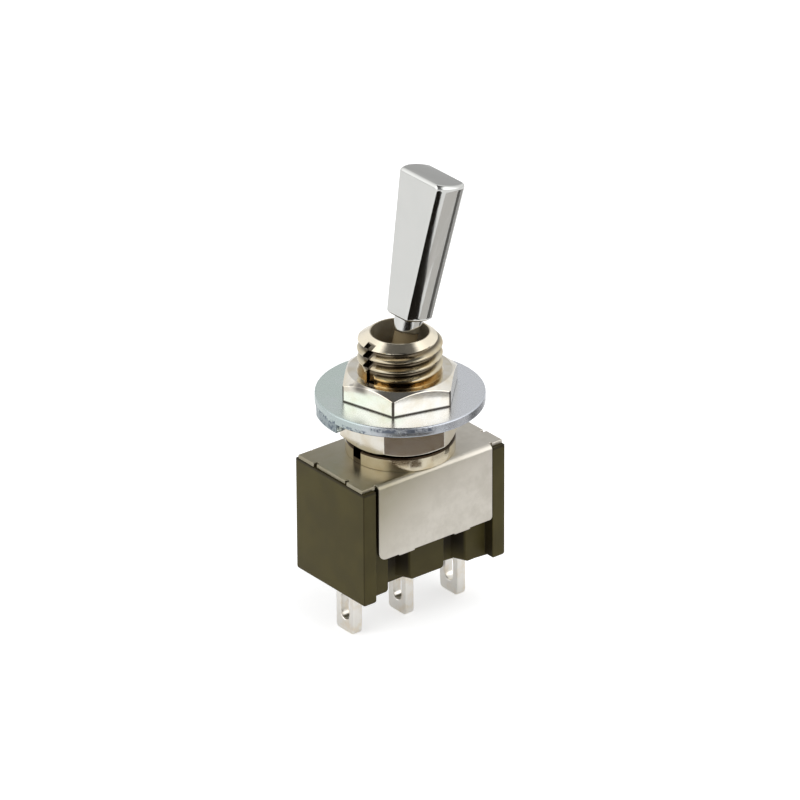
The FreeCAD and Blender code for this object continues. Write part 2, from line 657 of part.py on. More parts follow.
def make_rocker():
    """Springy rocker strip: two arms that slope up from the pivot, and ears that straddle it."""
    body = new_body("rocker_contact", z=PLATE_TOP + ROCKER_PIVOT, angle=-S["rocker_lean"])
    slope = S["rocker_lean"]
    reach = S["rocker_arm"] * cosine(slope)
    rise = S["rocker_arm"] * sine(slope)
    across = S["rocker_thickness"] * sine(slope)
    up = S["rocker_thickness"] * cosine(slope)
    section = new_sketch(body, "rocker_section", "XZ_Plane")
    outline(section, [
        (ZERO, ZERO), (reach, rise), (reach - across, rise + up),
        (ZERO, S["rocker_thickness"] / cosine(slope)),
        (across - reach, rise + up), (-reach, rise)])
    grow(body, "Pad", "strip", section, S["rocker_width"], symmetric=True)

    ears = new_sketch(body, "ear_plan", "XY_Plane", S["rocker_thickness"] / 2)
    outer = S["rocker_width"] / 2
    half = S["ear_length"] / 2
    for sign in (-1, 1):
        box_outline(ears, (-half, (outer - S["rocker_thickness"]) * sign), (half, outer * sign))
    grow(body, "Pad", "ears", ears, S["ear_drop"] + S["rocker_thickness"] / 2, reverse=True)
    return body


def disc_profile(sketch, radius, top, bottom, edge):
    """Half section of a disc whose lower edge is bevelled."""
    outline(sketch, [(ZERO, bottom), (radius - edge, bottom), (radius, bottom + edge),
                     (radius, top), (ZERO, top)])


def make_tip(label, raised):
    """Contact tip under one rocker arm: lying flat at rest, or lifted with the raised arm."""
    lift = S["rocker_lean"] * 2
    if raised:
        body = new_body(label, x=S["tip_reach"] * cosine(lift),
                        z=PLATE_TOP + ROCKER_PIVOT + S["tip_reach"] * sine(lift), angle=-lift)
    else:
        body = new_body(label, x=-S["tip_reach"], z=PLATE_TOP + ROCKER_PIVOT)
    profile = new_sketch(body, f"{label}_profile", "XZ_Plane")
    disc_profile(profile, S["tip_radius"], ZERO, -S["tip_height"], S["contact_edge"])
    turn(body, "Revolution", f"{label}_disc", profile)
    return body


def make_fixed_contact(label, sign):
    """Rivet contact: a bevelled head on the lug's foot and a shank through it."""
    body = new_body(label, x=S["tip_reach"] * sign, z=PLATE_TOP)
    head_foot = CONTACT_TOP - S["contact_height"]
    edge = S["contact_edge"]
    profile = new_sketch(body, f"{label}_profile", "XZ_Plane")
    outline(profile, [
        (ZERO, FLOOR + edge), (S["contact_shank_radius"], FLOOR + edge),
        (S["contact_shank_radius"], head_foot), (S["contact_radius"], head_foot),
        (S["contact_radius"], CONTACT_TOP - edge), (S["contact_radius"] - edge, CONTACT_TOP),
        (ZERO, CONTACT_TOP)])
    turn(body, "Revolution", f"{label}_rivet", profile)
    return body


def wire_eye(body, name, middle):
    """Rounds the lug's lower corners and cuts its wire slot."""
    def low_corner(one, other):
        across = near(one.y, other.y) and near(one.z, other.z) and not near(one.x, other.x)
        return across and near(one.z, LUG_END) and near(abs(one.y), S["lug_width"] / 2)

    soften(body, "Fillet", f"{name}_corners", S["lug_corner_radius"], low_corner)
    eye = new_sketch(body, f"{name}_eye_outline", "YZ_Plane", middle - S["lug_thickness"])
    half = S["eye_width"] / 2
    low = LUG_END + S["eye_margin"] + half
    high = LUG_END + S["eye_margin"] + S["eye_length"] - half
    outline(eye, [(-half, low), (ZERO, low - half), (half, low), (half, high),
                  (ZERO, high + half), (-half, high)],
            arcs={0: (half, -1), 1: (half, -1), 3: (half, -1), 4: (half, -1)})
    grow(body, "Pocket", f"{name}_eye", eye, S["lug_thickness"] * 2, reverse=True)


def make_end_terminal(label, sign):
    """End lug: straight through the case, then bent inwards over its floor."""
    body = housing_body(label)
    middle = S["lug_pitch"] * sign
    outer = middle + S["lug_thickness"] / 2 * sign
    inner = middle - S["lug_thickness"] / 2 * sign
    foot_end = outer - S["foot_length"] * sign
    foot_top = FLOOR + S["lug_thickness"]
    section = new_sketch(body, f"{label}_section", "XZ_Plane")
    outline(section, [(outer, LUG_END), (inner, LUG_END), (inner, FLOOR), (foot_end, FLOOR),
                      (foot_end, foot_top), (outer, foot_top)])
    grow(body, "Pad", f"{label}_strip", section, S["lug_width"], symmetric=True)

    def foot_bend(one, other):
        along = near(one.x, other.x) and near(one.z, other.z)
        return along and near(one.x, outer) and near(one.z, foot_top)

    soften(body, "Fillet", f"{label}_bend", S["foot_bend_radius"], foot_bend)
    wire_eye(body, label, middle)
    hole = new_sketch(body, f"{label}_rivet_hole_plan", "XY_Plane", foot_top)
    circle(hole, (S["tip_reach"] * sign, ZERO), S["contact_shank_radius"])
    grow(body, "Pocket", f"{label}_rivet_hole", hole, S["lug_thickness"])
    return body


def make_common_terminal():
    """Middle lug: shoulders on the floor, and a rounded upper edge on which the rocker tips."""
    body = housing_body("terminal_common")
    half = S["lug_thickness"] / 2
    crown = ROCKER_PIVOT - S["contact_gap"]
    section = new_sketch(body, "common_section", "XZ_Plane")
    outline(section, [(-half, LUG_END), (half, LUG_END), (half, crown - half), (ZERO, crown),
                      (-half, crown - half)], arcs={2: (half, -1), 3: (half, -1)})
    grow(body, "Pad", "common_strip", section, S["lug_width"], symmetric=True)
    wire_eye(body, "common", ZERO)
    shoulder = new_sketch(body, "shoulder_plan", "XY_Plane", FLOOR)
    width = S["shoulder_width"] / 2
    box_outline(shoulder, (-half, -width), (half, width))
    grow(body, "Pad", "shoulder", shoulder, S["shoulder_height"])
    return body


def make_seal(label, place):
    """Sealing resin round one lug, flush with the case's foot."""
    body = housing_body(label)
    plan = new_sketch(body, f"{label}_plan", "XY_Plane", CASE_FOOT)
    box_across(plan, place, S["seal_length"], S["seal_width"])
    box_across(plan, place, S["lug_thickness"], S["lug_width"])
    grow(body, "Pad", f"{label}_resin", plan, S["seal_depth"])
    return body


def make_nut(label, foot, height, corner_turn, chamfer_up):
    """Thin hexagon nut, chamfered on one face."""
    body = new_body(label, z=PLATE_TOP + foot, axis=(0, 0, 1), angle=corner_turn)
    plan = new_sketch(body, f"{label}_plan", "XY_Plane")
    flat_half = S["nut_flats"] / 2
    corner = S["nut_flats"] / ROOT_OF_THREE
    outline(plan, [
        (corner, ZERO), (corner / 2, flat_half), (-corner / 2, flat_half),
        (-corner, ZERO), (-corner / 2, -flat_half), (corner / 2, -flat_half)])
    grow(body, "Pad", f"{label}_hexagon", plan, height)

    bore = S["nut_bore_radius"]
    bevel = S["nut_bore_bevel"]
    inner = new_sketch(body, f"{label}_bore_profile", "XZ_Plane")
    outline(inner, [(ZERO, ZERO), (bore + bevel, ZERO), (bore, bevel), (bore, height - bevel),
                    (bore + bevel, height), (ZERO, height)])
    turn(body, "Groove", f"{label}_bore", inner)

    chamfer_width = corner + bevel - S["nut_chamfer_radius"]
    drop = chamfer_width * S["nut_chamfer_slope"]
    face = height if chamfer_up else ZERO
    outer = new_sketch(body, f"{label}_chamfer_profile", "XZ_Plane")
    outline(outer, [(S["nut_chamfer_radius"], face), (corner + bevel, face),
                    (corner + bevel, height - drop if chamfer_up else drop)])
    turn(body, "Groove", f"{label}_chamfer", outer)
    return body


def make_locking_ring():
    """Locking ring: inner tongue in the keyway and a lug bent down at its edge."""
    body = new_body("locking_ring", z=PLATE_TOP + NUT_SEAT - S["ring_thickness"])
    plan = new_sketch(body, "ring_plan", "XY_Plane")
    circle(plan, (ZERO, ZERO), S["ring_radius"])
    circle(plan, (ZERO, ZERO), S["ring_bore_radius"])
    grow(body, "Pad", "ring", plan, S["ring_thickness"])

    tongue = new_sketch(body, "tongue_plan", "XY_Plane")
    half = S["tongue_width"] / 2
    middle = (S["ring_bore_radius"] + S["ring_radius"]) / 2
    box_outline(tongue, (-middle, -half), (-S["tongue_tip"], half))
    grow(body, "Pad", "tongue", tongue, S["ring_thickness"])

    lug = new_sketch(body, "bent_lug_plan", "XY_Plane")
    first = S["bent_lug_angle"] - S["bent_lug_spread"]
    last = S["bent_lug_angle"] + S["bent_lug_spread"]
    outer = S["ring_radius"]
    inner = S["bent_lug_inner_radius"]
    outline(lug, [
        (inner * cosine(first), inner * sine(first)), (outer * cosine(first), outer * sine(first)),
        (outer * cosine(last), outer * sine(last)), (inner * cosine(last), inner * sine(last))],
        arcs={1: (outer, -1), 3: (inner, 1)})
    grow(body, "Pad", "bent_lug", lug, S["bent_lug_drop"], reverse=True)
    return body


def make_lock_washer():
    """Thin lock washer with internal teeth, between the lower nut and the locking ring."""
    body = new_body("lock_washer", z=PLATE_TOP + S["flange_height"] + S["lower_nut_height"])
    plan = new_sketch(body, "washer_plan", "XY_Plane")
    circle(plan, (ZERO, ZERO), S["washer_radius"])
    circle(plan, (ZERO, ZERO), S["ring_bore_radius"])
    grow(body, "Pad", "washer", plan, S["washer_thickness"])

    gap = new_sketch(body, "tooth_gap_plan", "XY_Plane")
    half = S["tooth_gap"] / 2
    box_outline(gap, (S["thread_seat_radius"], -half), (S["tooth_root_radius"], half))
    cut = grow(body, "Pocket", "tooth_space", gap, S["washer_thickness"], reverse=True)
    pattern = body.newObject("PartDesign::PolarPattern", "tooth_spaces")
    pattern.Originals = [cut]
    pattern.Axis = (plan, ["N_Axis"])
    pattern.Angle = 360
    pattern.Occurrences = int(S["tooth_count"].value)
    pattern.setExpression("Occurrences", S["tooth_count"].formula)
    body.Tip = pattern
    return body


bodies = [
    make_case(),
    make_frame(),
    make_bushing(),
    make_pin(),
    make_lever(),
    make_plunger(),
    make_spring(),
    make_rocker(),
    make_tip("rocker_tip_left", raised=False),
    make_tip("rocker_tip_right", raised=True),
    make_fixed_contact("fixed_contact_left", -1),
    make_fixed_contact("fixed_contact_right", 1),
    make_end_terminal("terminal_left", -1),
    make_end_terminal("terminal_right", 1),
    make_common_terminal(),
    make_seal("seal_left", -1),
    make_seal("seal_common", 0),
    make_seal("seal_right", 1),
    make_nut("lower_nut", S["flange_height"], S["lower_nut_height"], S["lower_nut_turn"], False),
    make_lock_washer(),
    make_locking_ring(),
    make_nut("upper_nut", NUT_SEAT, S["upper_nut_height"], S["upper_nut_turn"], True),
]
doc.recompute()

# Nothing is written unless every object recomputed and every solid is sound
failed = [item.Name for item in doc.Objects
          if "Invalid" in item.State or "Error" in item.State]
for body in bodies:
    if body.Shape.isNull() or not body.Shape.isValid() or len(body.Shape.Solids) != 1:
        failed.append(body.Label)
if failed:
    raise RuntimeError("These did not build: " + ", ".join(failed))

os.makedirs("parts", exist_ok=True)
for body in bodies:
    body.Shape.exportStep(f"parts/{body.Label}.step")
    print(f"{body.Label}: {body.Shape.Volume:.3f} mm3")
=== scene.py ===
import math

import bmesh
import bpy
from mathutils import Matrix, Vector


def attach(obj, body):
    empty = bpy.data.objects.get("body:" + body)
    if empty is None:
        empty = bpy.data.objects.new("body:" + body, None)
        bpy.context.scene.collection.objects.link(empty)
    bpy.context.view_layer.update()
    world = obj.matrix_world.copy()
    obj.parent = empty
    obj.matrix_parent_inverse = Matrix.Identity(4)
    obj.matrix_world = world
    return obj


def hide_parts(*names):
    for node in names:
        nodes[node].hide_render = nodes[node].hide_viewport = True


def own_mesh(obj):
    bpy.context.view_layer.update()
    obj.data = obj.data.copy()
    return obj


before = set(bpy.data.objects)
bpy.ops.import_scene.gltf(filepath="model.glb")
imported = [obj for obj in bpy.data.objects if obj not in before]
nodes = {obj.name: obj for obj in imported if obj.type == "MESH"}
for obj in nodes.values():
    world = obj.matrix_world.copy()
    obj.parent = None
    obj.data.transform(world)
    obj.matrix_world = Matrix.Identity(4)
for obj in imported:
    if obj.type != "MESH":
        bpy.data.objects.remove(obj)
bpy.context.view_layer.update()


# Case: one moulding in dark olive thermosetting plastic, with end ribs, recessed long sides and
# clinching notches. Its faces keep the fine spark-eroded texture of the mould, and the parting
# edges come out slightly rounded.
MM = 0.001


class Wire:
    """A shader socket; sums written with it add Math nodes."""

    def __init__(self, graph, socket):
        self.graph = graph
        self.socket = socket

    def maths(self, operation, *values):
        return self.graph.node("ShaderNodeMath", {"operation": operation}, values)

    def __add__(self, other):
        return self.maths("ADD", self, other)

    def __radd__(self, other):
        return self.maths("ADD", other, self)

    def __sub__(self, other):
        return self.maths("SUBTRACT", self, other)

    def __rsub__(self, other):
        return self.maths("SUBTRACT", other, self)

    def __mul__(self, other):
        return self.maths("MULTIPLY", self, other)

    def __rmul__(self, other):
        return self.maths("MULTIPLY", other, self)

    def unsigned(self):
        return self.maths("ABSOLUTE", self)

    def root(self):
        return self.maths("SQRT", self)

    def at_least(self, other):
        return self.maths("MAXIMUM", self, other)

    def over(self, low, high):
        """0 below low, 1 above high, and smooth between."""
        settings = {"interpolation_type": "SMOOTHSTEP"}
        sockets = {0: self, 1: low, 2: high, 3: 0.0, 4: 1.0}
        return self.graph.node("ShaderNodeMapRange", settings, sockets)

    def between(self, low, high, soft):
        """1 between low and high, fading to 0 at each end over twice the soft width."""
        return self.over(low - soft, low + soft) * (1 - self.over(high - soft, high + soft))


class Graph:
    """A node tree, with one way of adding a node to it."""

    def __init__(self, tree):
        self.tree = tree
        tree.nodes.clear()

    def node(self, kind, settings=None, inputs=None, output=0):
        made = self.tree.nodes.new(kind)
        for name, value in (settings or {}).items():
            setattr(made, name, value)
        pairs = inputs.items() if isinstance(inputs, dict) else enumerate(inputs or [])
        for key, value in pairs:
            if isinstance(value, Wire):
                self.tree.links.new(value.socket, made.inputs[key])
            elif value is not None:
                made.inputs[key].default_value = value
        return Wire(self, made.outputs[output]) if made.outputs else None

    def blend(self, amount, first, second):
        """A colour between two colours."""
        settings = {"data_type": "RGBA", "blend_type": "MIX"}
        return self.node("ShaderNodeMix", settings, {0: amount, 6: first, 7: second}, output=2)


class Finish(Graph):
    """A material round one Principled shader. Textures are placed in millimetres on the piece."""

    def __init__(self, name, **constants):
        self.material = bpy.data.materials.new(name)
        self.material.use_nodes = True
        super().__init__(self.material.node_tree)
        sockets = {key.replace("_", " "): value for key, value in constants.items()}
        self.shader = self.node("ShaderNodeBsdfPrincipled", {}, sockets)
        self.node("ShaderNodeOutputMaterial", {}, [self.shader])
        self.spot = self.node("ShaderNodeTexCoord", output=3)

    def stretched(self, x, y, z):
        """The place on the piece in millimetres, times x, y and z."""
        scale = (x / MM, y / MM, z / MM)
        return self.node("ShaderNodeVectorMath", {"operation": "MULTIPLY"}, [self.spot, scale])

    def noise(self, per_mm, detail=2.0, rough=0.5, stretch=(1, 1, 1)):
        """Cloudy noise from 0 to 1, with so many lumps to the millimetre."""
        return self.node("ShaderNodeTexNoise", {}, {
            "Vector": self.stretched(*stretch), "Scale": per_mm, "Detail": detail, "Roughness": rough})

    def parts(self):
        """The place on the piece in millimetres, as x, y and z."""
        place = self.stretched(1, 1, 1)
        return [self.node("ShaderNodeSeparateXYZ", {}, [place], output=axis) for axis in range(3)]

    def wear(self, **sockets):
        """Feeds sockets of the shader, given by their names."""
        inputs = self.shader.socket.node.inputs
        for key, value in sockets.items():
            self.tree.links.new(value.socket, inputs[key.replace("_", " ")])

    def raise_by(self, height, microns):
        """Bump of a height from 0 to 1, so many microns high."""
        self.wear(Normal=self.node("ShaderNodeBump", {}, {"Distance": microns * 1e-6, "Height": height}))


def shade(red, green, blue):
    """A colour given as it is seen on a screen, 0 to 255."""
    def plain(part):
        part = part / 255
        return part / 12.92 if part <= 0.04045 else ((part + 0.055) / 1.055) ** 2.4
    return (plain(red), plain(green), plain(blue), 1.0)


def dress(name, finish, edge_mm, steps=2):
    """Gives a solid its finish, and rounds its sharp edges."""
    solid = nodes[name]
    mesh = solid.data
    if "custom_normal" in mesh.attributes:
        mesh.attributes.remove(mesh.attributes["custom_normal"])
    mesh.materials.clear()
    mesh.materials.append(finish.material)
    mesh.shade_smooth()
    weld = solid.modifiers.new("weld", "WELD")
    weld.merge_threshold = 0.0005 * MM
    flats = solid.modifiers.new("flats", "DECIMATE")
    flats.decimate_type = "DISSOLVE"
    flats.angle_limit = math.radians(0.5)
    edges = solid.modifiers.new("edges", "BEVEL")
    edges.width = edge_mm * MM
    edges.segments = steps
    edges.limit_method = "ANGLE"
    edges.angle_limit = math.radians(28)
    edges.use_clamp_overlap = False
    edges.harden_normals = True
    return solid


HALF_LENGTH = 6.35
HALF_WIDTH = 3.85
CASE_RIM = -6.43
RIB_INSIDE = 5.25
RECESS = 2.95
NOTCH_NEAR = 1.5
NOTCH_FAR = 3.5
NOTCH_TOP = -13.6
CASE_FOOT = -15.4

olive = Finish("olive_moulding", Specular_IOR_Level=0.2)
cloud = olive.noise(0.45, detail=3.0)
pores = olive.noise(14.0, detail=2.0)
along, across, up = olive.parts()
along = along.unsigned()
across = across.unsigned()
# Painted shade darkens the clinching notches, the ribs' inner sides, a line down the corners and the band
# under the plate
notch = ((1 - across.over(RECESS - 0.25, RECESS - 0.03)) * along.between(NOTCH_NEAR, NOTCH_FAR, 0.05)
         * up.over(CASE_FOOT, NOTCH_TOP))
in_recess = (across.over(RECESS - 0.05, RECESS + 0.05)
             * (1 - across.over(HALF_WIDTH - 0.11, HALF_WIDTH - 0.02)))
rib_side = (1 - (along - RIB_INSIDE).unsigned().over(0.02, 0.05)) * in_recess
corner = (along.over(HALF_LENGTH - 0.09, HALF_LENGTH - 0.02)
          * across.over(HALF_WIDTH - 0.09, HALF_WIDTH - 0.02))
outward = along.at_least(across + (HALF_LENGTH - HALF_WIDTH))
rim = up.over(CASE_RIM - 0.23, CASE_RIM - 0.07) * outward.over(6.0, 6.3)
painted_case_shade = (0.88 * notch).at_least(0.75 * rib_side).at_least(0.5 * corner).at_least(0.7 * rim)
plain_olive = olive.blend(cloud.over(0.3, 0.7), shade(66, 59, 27), shade(74, 67, 33))
olive.wear(
    Base_Color=olive.blend(painted_case_shade, plain_olive, shade(24, 16, 6)),
    Roughness=0.42 + 0.14 * cloud + 0.08 * pores)
olive.raise_by(pores + 0.35 * cloud, 5.0)
dress("case", olive, 0.05, steps=3)


# Solder lugs: three strips stamped from brass sheet and silver plated, pushed through the floor of
# the case. The press leaves their edges soft, and the silver has gone faintly warm in handling.
silver = Finish("silver_plate", Metallic=1.0)
tarnish = silver.noise(0.9, detail=4.0, rough=0.6)
drag = silver.noise(2.2, detail=3.0, stretch=(6, 6, 0.6))
silver.wear(
    Base_Color=silver.blend(tarnish.over(0.45, 0.75), shade(248, 245, 238), shade(238, 226, 206)),
    Roughness=0.24 + 0.12 * tarnish)
silver.raise_by(drag + tarnish, 4.0)
for place in ("left", "common", "right"):
    dress(f"terminal_{place}", silver, 0.09, steps=3)


# Sealing resin: dark epoxy dripped round each lug in its well, to keep flux out of the contacts. It
# has cured glossy, with a slight crawl.
resin = Finish("cured_resin")
crawl = resin.noise(1.6, detail=2.0)
resin.wear(
    Base_Color=resin.blend(crawl, shade(44, 38, 26), shade(62, 54, 36)),
    Roughness=0.18 + 0.15 * crawl)
resin.raise_by(crawl, 25.0)
for place in ("left", "common", "right"):
    dress(f"seal_{place}", resin, 0.04)


# Fixed contacts and the rocker's tips: solid silver rivets, headed cold into the lugs' feet and the
# rocker's arms. Storage has left a matt bloom on them.
contact = Finish("contact_silver", Metallic=1.0)
bloom = contact.noise(3.0, detail=3.0)
contact.wear(
    Base_Color=contact.blend(bloom, shade(216, 214, 208), shade(196, 190, 176)),
    Roughness=0.3 + 0.15 * bloom)
contact.raise_by(bloom, 3.0)
for name in ("fixed_contact_left", "fixed_contact_right", "rocker_tip_left", "rocker_tip_right"):
    dress(name, contact, 0.04)


# Rocker: a strip of phosphor bronze, stamped and bent into two shallow arms that tip on the common
# lug. It shows the grain of the rolling.
bronze = Finish("phosphor_bronze", Metallic=1.0)
rolling = bronze.noise(3.0, detail=3.0, stretch=(0.5, 5, 5))
bronze.wear(
    Base_Color=bronze.blend(rolling, shade(212, 160, 104), shade(186, 132, 80)),
    Roughness=0.26 + 0.14 * rolling)
bronze.raise_by(rolling, 2.5)
dress("rocker_contact", bronze, 0.04)


# Bushing: turned from brass bar and nickel plated over a rolled M6 x 0.75 thread, with a flange, a
# keyway cut down one side and a bevelled mouth. Its neck is spread under the frame.
PITCH = 0.75
CREST = 3.0
SEAT_CREST = 2.55
MOUTH = 2.95
MOUTH_BORE = 2.05
MOUTH_EDGE = 2.13
MOUTH_SLOPE = 1.45
GUIDE_FOOT = -2.05
LOWER_BORE = 2.3
FLANGE = 3.9
FLANGE_TOP = -5.08
FLANGE_FOOT = -6.13
NECK = 2.6
STAKE = 2.8
STAKE_TOP = -6.43
STAKE_FOOT = -6.68
KEY_HALF = 0.4
KEY_FLOOR = 2.5
KEY_STOP = -5.73
KEY_STEPS = 8
THREAD_START = -0.47
THREAD_FOOT = 0.42
UNDERCUT = 2.68
THREAD_TURNS = 7
LIP = 0.06
AROUND = 150
# One turn of the thread: how far up the turn, and the radius there
THREAD_SHAPE = [(0.0, 3.0), (0.06, 2.992), (0.105, 2.955), (0.15, 2.9), (0.225, 2.79), (0.3, 2.68),
                (0.365, 2.592), (0.43, 2.56), (0.5, 2.553), (0.57, 2.56), (0.635, 2.592), (0.7, 2.68),
                (0.775, 2.79), (0.85, 2.9), (0.895, 2.955), (0.94, 2.992)]


def rounded(corners, steps=4):
    """A closed outline of (across, up, radius) corners, with each corner rounded off."""
    points = []
    count = len(corners)
    for index, (across, up, radius) in enumerate(corners):
        here = Vector((across, up))
        if radius == 0:
            points.append(here)
            continue
        back = (Vector(corners[index - 1][:2]) - here).normalized()
        ahead = (Vector(corners[(index + 1) % count][:2]) - here).normalized()
        reach = radius / math.tan(back.angle(ahead) / 2)
        for step in range(steps + 1):
            part = step / steps
            near_back = here + back * reach * (1 - part)
            near_ahead = here + ahead * reach * part
            points.append(near_back.lerp(near_ahead, part))
    return points


def skin(name, rows, joined, finish, sharp=35):
    """A closed mesh through rows of points in millimetres; open rows are capped at both ends."""
    shape = bmesh.new()
    grid = [[shape.verts.new(Vector(point) * MM) for point in row] for row in rows]
    across = len(rows[0])
    pairs = list(zip(grid, grid[1:])) + ([(grid[-1], grid[0])] if joined else [])
    for one, other in pairs:
        for index in range(across):
            after = (index + 1) % across
            shape.faces.new((one[index], one[after], other[after], other[index]))
    if not joined:
        shape.faces.new(grid[0])
        shape.faces.new(grid[-1])
    bmesh.ops.remove_doubles(shape, verts=shape.verts, dist=0.0004 * MM)
    bmesh.ops.dissolve_degenerate(shape, edges=shape.edges, dist=0.0004 * MM)
    bmesh.ops.recalc_face_normals(shape, faces=shape.faces)
    for face in shape.faces:
        face.smooth = True
    for edge in shape.edges:
        edge.smooth = edge.calc_face_angle(0) < math.radians(sharp)
    mesh = bpy.data.meshes.new(name)
    shape.to_mesh(mesh)
    shape.free()
    mesh.materials.append(finish.material)
    piece = bpy.data.objects.new(name, mesh)
    bpy.context.scene.collection.objects.link(piece)
    return piece


def bushing_section(turned):
    """Half section of the bushing, below and above the keyway's foot, the thread turned so much."""
    below = rounded([
        (LOWER_BORE, STAKE_FOOT, 0), (STAKE, STAKE_FOOT, 0.06), (STAKE, STAKE_TOP, 0), (NECK, STAKE_TOP, 0),
        (NECK, FLANGE_FOOT, 0), (FLANGE, FLANGE_FOOT, 0.04), (FLANGE, KEY_STOP, 0)])
    above = rounded([
        (FLANGE, KEY_STOP, 0), (FLANGE, FLANGE_TOP, 0.09), (SEAT_CREST, FLANGE_TOP, 0),
        (SEAT_CREST, -0.6, 0), (UNDERCUT, -0.45, 0)])
    thread = []
    for turn in range(-1, THREAD_TURNS):
        for rise, radius in THREAD_SHAPE:
            # The thread starts above an undercut and runs out into the bevel at the mouth
            height = min(THREAD_START + (turn + rise + turned) * PITCH, MOUTH - LIP)
            radius = min(radius, MOUTH_EDGE + (MOUTH - height) * MOUTH_SLOPE)
            if height < THREAD_FOOT:
                height, radius = THREAD_FOOT, UNDERCUT
            thread.append(Vector((radius, height)))
    inside = rounded([
        (MOUTH_EDGE + LIP * MOUTH_SLOPE, MOUTH - LIP, 0), (MOUTH_EDGE, MOUTH, 0.05),
        (MOUTH_BORE, MOUTH, 0.035), (MOUTH_BORE, GUIDE_FOOT, 0), (LOWER_BORE, GUIDE_FOOT, 0)])
    return below, above + thread + inside


def bushing_rows():
    """Sections round the axis from one wall of the keyway to the other, then its floor."""
    def angle_at(radius, part):
        """The angle from the keyway's middle, part of the way from one wall to the other."""
        wall = math.asin(KEY_HALF / radius)
        return wall + 2 * (math.pi - wall) * part

    rows = []
    for index in range(AROUND + 1):
        part = index / AROUND
        below, above = bushing_section(angle_at(CREST, part) / (2 * math.pi))
        row = []
        for radius, height in below + above:
            angle = angle_at(radius, part)
            row.append((-radius * math.cos(angle), -radius * math.sin(angle), height))
        rows.append(row)
    for step in range(KEY_STEPS + 1):
        part = 1 - step / KEY_STEPS
        y = KEY_HALF * (2 * part - 1)
        below, above = bushing_section(angle_at(CREST, part) / (2 * math.pi))
        neck = [(-math.sqrt(radius ** 2 - y ** 2), y, height) for radius, height in below]
        floor = [(max(-math.sqrt(radius ** 2 - y ** 2), -KEY_FLOOR), y, height) for radius, height in above]
        rows.append(neck + floor)
    return rows


def plated(name, light, warm, gloss, lines=(1, 1, 1), streak=2.0, coats=()):
    """Nickel plate over brass: bright, warm where it is thin, with the tool's fine marks."""
    plate = Finish(name, Metallic=1.0)
    thin = plate.noise(0.8, detail=3.0, rough=0.55)
    marks = plate.noise(streak, detail=3.0, stretch=lines)
    tone = plate.blend(thin.over(0.35, 0.75), light, warm)
    for cover, colour in coats:
        tone = plate.blend(cover(plate), tone, colour)
    plate.wear(Base_Color=tone, Roughness=gloss + 0.08 * thin + 0.06 * marks)
    plate.raise_by(marks + 0.4 * thin, 2.0)
    return plate


def distance_out(x, y):
    """How far a place is from the axis, in millimetres."""
    return (x * x + y * y).root()


def in_bore(plate):
    """1 inside the bushing, below its lip."""
    x, y, z = plate.parts()
    inside = 1 - distance_out(x, y).over(MOUTH_BORE + 0.005, MOUTH_BORE + 0.03)
    return inside * (1 - z.over(MOUTH - 0.1, MOUTH - 0.01))


def painted_lip_highlight(plate):
    """1 on the bevel of the mouth, which carries a painted highlight."""
    x, y, z = plate.parts()
    return z.over(2.3, 2.42) * distance_out(x, y).over(2.08, 2.14)


def painted_undercut_tint(plate):
    """1 in the undercut, which is painted golden as a warm reflection."""
    x, y, z = plate.parts()
    undercut = z.over(-0.6, -0.5) * (1 - z.over(THREAD_FOOT - 0.02, THREAD_FOOT + 0.04))
    return undercut * distance_out(x, y).over(LOWER_BORE, LOWER_BORE + 0.05)


def painted_shade_and_dark_reflection(plate):
    """How dark the keyway, the bore, the thread's root and the seam over the flange are painted as shade,
    with a painted dark reflection on the front of the undercut.
    """
    x, y, z = plate.parts()
    out = distance_out(x, y)
    slot = 1 - y.unsigned().over(KEY_HALF + 0.005, KEY_HALF + 0.04)
    slot = slot * (1 - x.over(-KEY_FLOOR, 0.1 - KEY_FLOOR))
    threaded = z.over(THREAD_FOOT + 0.03, THREAD_FOOT + 0.13) * (1 - z.over(2.3, 2.4))
    root = (1 - out.over(2.6, 2.92)) * threaded * out.over(LOWER_BORE, LOWER_BORE + 0.05)
    # A painted dark reflection on the undercut's side towards the camera
    facing = (-0.62 * x - 0.78 * y).over(2.42, 2.62)
    undercut = facing * (1 - z.over(0.38, 0.44)) * z.over(-0.6, -0.5)
    seam = z.over(FLANGE_TOP - 0.17, FLANGE_TOP - 0.11) * (1 - z.over(-5.0, -4.9)) * out.over(3.0, 3.1)
    hollows = (0.85 * slot).at_least(0.55 * in_bore(plate)).at_least(0.86 * root)
    return hollows.at_least(0.85 * undercut).at_least(0.97 * seam)


# Its coats: a painted highlight on the mouth's bevel, a painted golden reflection in the undercut, and
# painted shade with a painted dark reflection in the hollows
turned_nickel = plated(
    "turned_nickel", shade(214, 205, 182), shade(200, 184, 152), 0.08, lines=(1, 1, 9), coats=[
        (painted_lip_highlight, shade(246, 236, 214)), (painted_undercut_tint, shade(206, 180, 134)),
        (painted_shade_and_dark_reflection, shade(48, 34, 19))])
turned_nickel.wear(Metallic=1 - 0.8 * in_bore(turned_nickel))
bushing = skin("threaded_bushing", bushing_rows(), True, turned_nickel)
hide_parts("bushing")
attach(bushing, "housing")


# Hinge pin: a short steel pin, ground all over, that goes through the lever's ball. Two slots in the
# bore hold its ends.
ground = Finish("ground_steel", Metallic=1.0)
grind = ground.noise(3.0, detail=3.0, stretch=(6, 0.5, 6))
ground.wear(Base_Color=ground.blend(grind, shade(190, 190, 188), shade(168, 168, 166)),
            Roughness=0.2 + 0.12 * grind)
ground.raise_by(grind, 1.5)
dress("pivot_pin", ground, 0.04)


